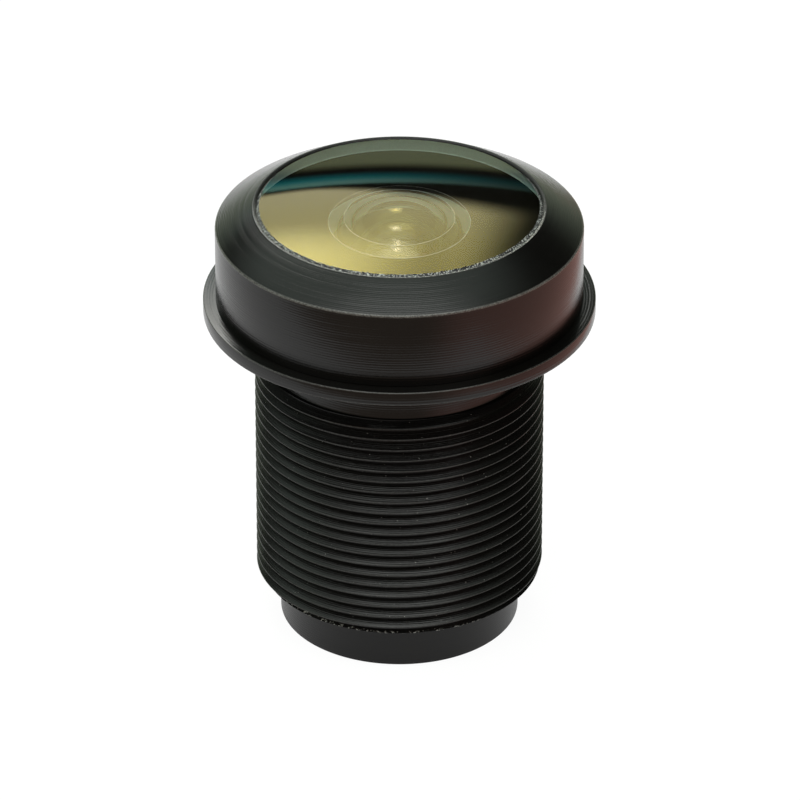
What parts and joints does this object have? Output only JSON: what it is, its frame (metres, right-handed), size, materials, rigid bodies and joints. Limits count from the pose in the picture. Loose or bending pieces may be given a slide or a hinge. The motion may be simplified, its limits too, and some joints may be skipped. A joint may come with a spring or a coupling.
{
  "type": "m12 board camera lens",
  "caption": "Wide-angle M12 board camera lens: black threaded barrel with a flange, a screwed front cap and a broad, gently domed front glass.",
  "frame": {"origin": "centre of the flat rear face of the barrel, on which the lens stands", "axes": "+Z along the lens axis towards the front glass; the lens is round about Z"},
  "size_m": [0.0162, 0.0162, 0.0194],
  "materials": {
    "anodised_aluminium": "black anodised, with fine turning marks",
    "seal_rubber": "matt black rubber",
    "coated_glass": "polished optical glass with an olive-tinted anti-reflection coating, ground and blackened rims",
    "black_film": "matt black film",
    "filter_glass": "polished flat infrared-cut glass with a faint red and green sheen"
  },
  "bodies": {
    "root": {"barrel": "anodised_aluminium", "front_cap": "anodised_aluminium", "front_seal": "seal_rubber", "front_element": "coated_glass", "front_light_shim": "black_film", "front_spacer": "anodised_aluminium", "second_element": "coated_glass", "second_light_shim": "black_film", "third_light_shim": "black_film", "third_element": "coated_glass", "stop_front_spacer": "anodised_aluminium", "aperture_disc": "black_film", "stop_rear_spacer": "anodised_aluminium", "fourth_element": "coated_glass", "fifth_element": "coated_glass", "rear_spacer": "anodised_aluminium", "sixth_element": "coated_glass", "rear_light_shim": "black_film", "rear_retaining_ring": "anodised_aluminium", "infrared_filter": "filter_glass"}
  },
  "joints": []
}
